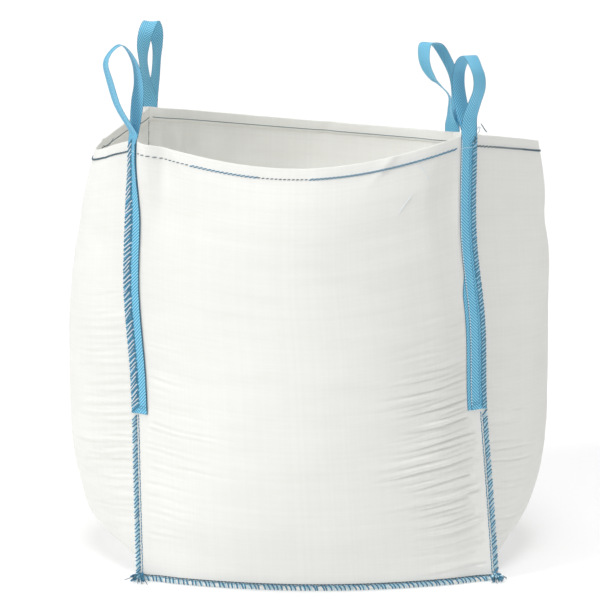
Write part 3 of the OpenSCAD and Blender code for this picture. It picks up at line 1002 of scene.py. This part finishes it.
def base_overlock(k):
    """Slanting threads that wrap the base seam's edge on side k, and the dark seam line above."""
    length = seam_length(k, 0.0)
    count = round(length / BASE_PITCH)
    pitch = (length - 0.007) / (count - 1)
    starts = 0.001 + pitch * (np.arange(count) + rng.uniform(-0.22, 0.22, count))

    def at(distance, s, face, lift):
        p, down, normal = flange_frame(k, np.clip(distance / length, 0.002, 0.998))
        s = np.broadcast_to(s, np.shape(distance))
        return p + down * (FLANGE_W - s)[..., None] + normal * (face * (GAP / 2 + CLOTH_T) + lift)

    def wraps(places, r):
        """Threads from the seam over the edge of the allowance and back under it."""
        lean = rng.uniform(0.0036, 0.0070, len(places))
        reach = BASE_REACH * rng.uniform(0.84, 1.08, len(places))
        paths = rounded(np.stack([
            at(places, reach, 1, r * 0.4),
            at(places + lean * 0.35, reach * 0.6, 1, r * 0.9),
            at(places + lean * 0.8, reach * 0.18, 1, r * 0.8),
            at(places + lean, -0.0008, 1, -CLOTH_T),
            at(places + lean, reach * 0.2, -1, -r * 0.8),
            at(places + lean * 0.5, reach * 0.6, -1, -r * 0.8),
        ], 1), 15)
        paths[..., 2] = np.maximum(paths[..., 2], r + 0.0002)
        return paths

    groups = [(wraps(starts, 0.0017), 0.0017, THREAD)]
    pale = rng.random(count) < 0.75
    groups.append((wraps(starts[pale] + pitch / 2, 0.0013), 0.0013, PALE_THREAD))
    groups.append((zigzag(at, starts, 0.0072, 0.0100, 1, LOOPER_R), LOOPER_R, THREAD))
    dash = dashes(0.001, length - 0.006, 0.0082, 0.0086)
    groups.append((at(dash, 0.0122, 1, 0.0008), 0.0012, DARK_THREAD))
    threads(f"overlock_base_{SIDES[k]}", groups, f"base_overlock_{SIDES[k]}")


# Shares of the front where the hem's thread is slack and sinks into the cloth.
SLACK_HEM = [[0.0, 0.16], [0.37, 0.52]]
HEM_PITCH = 0.0102  # from stitch to stitch along the hem


def hem_stitches(k):
    """The chain of stitches that holds the turned hem of side k, outside and inside."""
    length = seam_length(k, 1.0)
    margin = 0.028 if k % 2 == 0 else 0.006  # the straps cover the ends of the front and back
    starts = np.arange(margin, length - margin - HEM_PITCH, HEM_PITCH)

    def at(distance, down, lift):
        u = np.clip(distance / length, 0.001, 0.999)
        v = 1 - down / BAG_H
        return wall(k, u, v) + wall_normal(k, u, v) * (folds(k, u, v) + lift)[..., None]

    face = GAP / 2 + CLOTH_T
    groups = []
    slack = np.zeros(len(starts), bool)
    for begin, end in SLACK_HEM if k == 0 else []:
        slack |= (starts / length > begin) & (starts / length < end)
    tight = THREAD if k == 0 else DARK_THREAD
    for part, size, lean, r, thread in ((~slack, 0.0118, 0.0022, 0.0013, tight),
                                        (slack, 0.0072, 0.0008, 0.0010, DARK_THREAD)):
        if part.any():
            d = starts[part][:, None] + np.linspace(0, size, 6)
            sway = np.linspace(lean, -lean, 6)[None] + 0 * d
            arc = np.sin(np.linspace(0, np.pi, 6))[None] * 0.0006
            groups.append((at(d, HEM_D + sway, face + 0.0004 + arc), r, thread))
    d = dashes(0.006, length - 0.013, 0.0068, 0.0062, 6)
    inside = -(2 * HEM_TURN + CLOTH_T / 2 - face + 0.0009)
    groups.append((at(d, HEM_D + 0 * d, inside), 0.0010, DARK_THREAD))
    threads(f"stitches_hem_{SIDES[k]}", groups, f"hem_stitch_{SIDES[k]}")


# Each kind of thread in a tuft, with its radius, how many there are and how far they reach.
TUFT = [[THREAD, 0.0016, 28, 0.020], [PALE_THREAD, 0.0016, 22, 0.017],
        [DARK_THREAD, 0.0008, 10, 0.033]]


def thread_end(c):
    """The overlock's loose ends, in a frayed tuft at a bottom corner."""
    across = upright(fin_dir(c, 0.0))
    ahead = np.array([0, depth_sign(c), 0])
    start = upright(corner(c, 0.0), SEAM_LIFT) + across * FIN_W * 0.5
    groups = []
    for thread, r, count, reach in TUFT:
        angle = rng.uniform(-1.3, 2.2, count)[:, None]
        far = reach * rng.uniform(0.7, 1.15, count)[:, None]
        out = (across * np.cos(angle) + ahead * np.sin(angle) + ahead * 0.6) * far
        drop = rng.uniform(-0.011, 0.0, count)[:, None] * [0, 0, 1]
        bend = rng.uniform(-0.004, 0.004, (count, 3))
        root = start + rng.uniform(-0.003, 0.003, (count, 3))
        paths = np.stack([root - out * 0.2, root + out * 0.3 + bend,
                          root + out * 0.7 + drop * 0.7 - bend * 0.5, root + out + drop], 1)
        paths = rounded(paths, 12)
        paths[..., 2] = np.maximum(paths[..., 2], r + 0.0002)
        groups.append((paths, r, thread))
    threads(f"thread_ends_{CORNERS[c]}", groups, f"thread_tail_{CORNERS[c]}")


# Loose threads at the top of the front right corner, in mm from the top of its seam allowance:
# out along the allowance, forwards, and up.
RIM_ENDS = [
    [[-2, 1, -3], [1, 2, 12], [5, 3, 17], [9, 2, 13]],
    [[-4, 2, -8], [2, 4, 2], [7, 3, 9], [4, 4, 15]],
    [[9, 1, 24], [14, 2, 17], [19, 2, 9], [24, 1, 4]],
    [[-6, 3, -4], [-2, 5, -9], [-7, 4, -14], [-3, 4, -19]],
]
# A cut thread standing on the left rim: to the right, forwards and up, in mm.
RIM_THREAD_AT = 0.80  # share of the left wall
RIM_THREAD = [[-11, 0, 3], [-5, 0, 1], [2, 0, 3], [7, 0, 9], [11, 0, 16], [13, 0, 19]]
# Threads lying on the cloth: [side, u and v where it starts, where it ends, bow in metres].
STRAY_THREADS = [
    [0, [0.845, 0.968], [0.875, 0.928], 0.004],
    [0, [0.830, 0.906], [0.788, 0.868], -0.003],
]


def loose_threads():
    """Cut ends and stray threads that nobody trimmed."""
    across, ahead, up = upright(fin_dir(1, 1.0)), np.array([0, -1, 0]), np.array([0, 0, 1])
    start = upright(corner(1, 1.0), SEAM_TOP[1]) + across * FIN_W
    paths = np.array([[start + (across * x + ahead * (y + 4) + up * z) / 1000 for x, y, z in end]
                      for end in RIM_ENDS])
    groups = [(rounded(paths[:2], 14), 0.0006, THREAD),
              (rounded(paths[2:], 14), 0.0011, DARK_THREAD)]
    for k, begin, end, bow in STRAY_THREADS:
        t = np.linspace(0, 1, 12)
        u = lerp(begin[0], end[0], t) + bow * np.sin(np.pi * t)
        v = lerp(begin[1], end[1], t)
        p, n = wall(k, u, v), wall_normal(k, u, v)
        p = p + n * (folds(k, u, v) + GAP / 2 + CLOTH_T + 0.0008)[:, None]
        groups.append((p[None], 0.0008, WHITE_THREAD))
    rim = wall(3, RIM_THREAD_AT, 1.0) + [0, 0, 0.002]
    groups.append((rounded((rim + np.array(RIM_THREAD) / 1000)[None], 24), 0.0006, DARK_THREAD))
    threads("loose_threads", groups)


# ---- Stage ----

CAMERA_RISE = 9.5  # degrees above the horizon
CAMERA_AWAY = 7.5  # from the point that it looks at
CAMERA_AIM = Vector((-0.021, 0.0, 0.575))
CAMERA_VIEW = 10.74  # degrees across the picture


def camera():
    """A long lens in front of the bag and a little above it."""
    data = bpy.data.cameras.new("camera")
    data.angle = math.radians(CAMERA_VIEW)
    obj = placed("camera", data)
    rise = math.radians(CAMERA_RISE)
    back = Vector((0, -math.cos(rise), math.sin(rise)))
    obj.location = CAMERA_AIM + back * CAMERA_AWAY
    obj.rotation_euler = back.to_track_quat("Z", "Y").to_euler()
    bpy.context.scene.camera = obj


def lamp(name, place, size, watts):
    """A soft round lamp, itself out of sight, which lights the inside of the bag."""
    data = bpy.data.lights.new(name, "POINT")
    data.shadow_soft_size = size
    data.energy = watts
    obj = placed(name, data)
    obj.location = place
    obj.visible_camera = False


def sun(name, toward, softness, share):
    """A far, soft light that gives a white face square to it this share of full white."""
    data = bpy.data.lights.new(name, "SUN")
    data.angle = math.radians(softness)
    data.energy = math.pi * share
    placed(name, data).rotation_euler = Vector(toward).to_track_quat("Z", "Y").to_euler()


FLOOR_HALF = 60.0  # half of the floor's width
FLOOR_GLOW = 0.48  # the floor is a lit table, so that it stays white round the bag
SKY = 0.28  # strength of the light from overhead
HORIZON = 1.0  # the sky is white down near the floor's edge
SKY_FADE = [0.06, 0.30]  # how high the sky fades from the one to the other


def stage():
    """The floor, the sky, three suns and the lamp inside the bag."""
    n = Nodes("pale_floor", 0.9, 0.1)
    n.colour(n.mix(n.noise(n.place(), 2.0), srgb(186, 186, 186), srgb(190, 190, 190)))
    n.shader.inputs["Emission Color"].default_value = (1, 1, 1, 1)
    n.shader.inputs["Emission Strength"].default_value = FLOOR_GLOW
    corners = [[-1, -1], [1, -1], [1, 1], [-1, 1]]
    floor = add_mesh("floor", [[x * FLOOR_HALF, y * FLOOR_HALF, -0.0002] for x, y in corners],
                     [[0, 1, 2, 3]], None, [n.material])
    world = bpy.data.worlds.new("studio")
    world.use_nodes = True
    tree = world.node_tree
    place = tree.nodes.new("ShaderNodeTexCoord")
    split = tree.nodes.new("ShaderNodeSeparateXYZ")
    fade = tree.nodes.new("ShaderNodeMapRange")
    tree.links.new(place.outputs["Generated"], split.inputs[0])
    tree.links.new(split.outputs["Z"], fade.inputs["Value"])
    sockets = ("From Min", "From Max", "To Min", "To Max")
    for socket, value in zip(sockets, (*SKY_FADE, HORIZON, SKY)):
        fade.inputs[socket].default_value = value
    tree.links.new(fade.outputs["Result"], tree.nodes["Background"].inputs["Strength"])
    tree.nodes["Background"].inputs["Color"].default_value = (1, 1, 1, 1)
    bpy.context.scene.world = world
    bpy.context.scene.view_settings.view_transform = "Standard"
    sun("key", (-0.68, -0.46, 0.57), 14, 0.43)
    sun("top", (0.0, -0.37, 0.92), 20, 0.22)
    sun("overhead", (0.0, 0.0, 1.0), 30, 0.42)
    lamp("inside", (0.0, 0.0, 0.62), 0.2, 2.1)


camera()
stage()
base()
for side in range(4):
    panel(side)
for c in range(4):
    strap(c)
for c in range(4):
    strap_stitches(c)
    corner_overlock(c)
    thread_end(c)
for side in range(4):
    base_overlock(side)
    hem_stitches(side)
loose_threads()

bpy.context.view_layer.update()
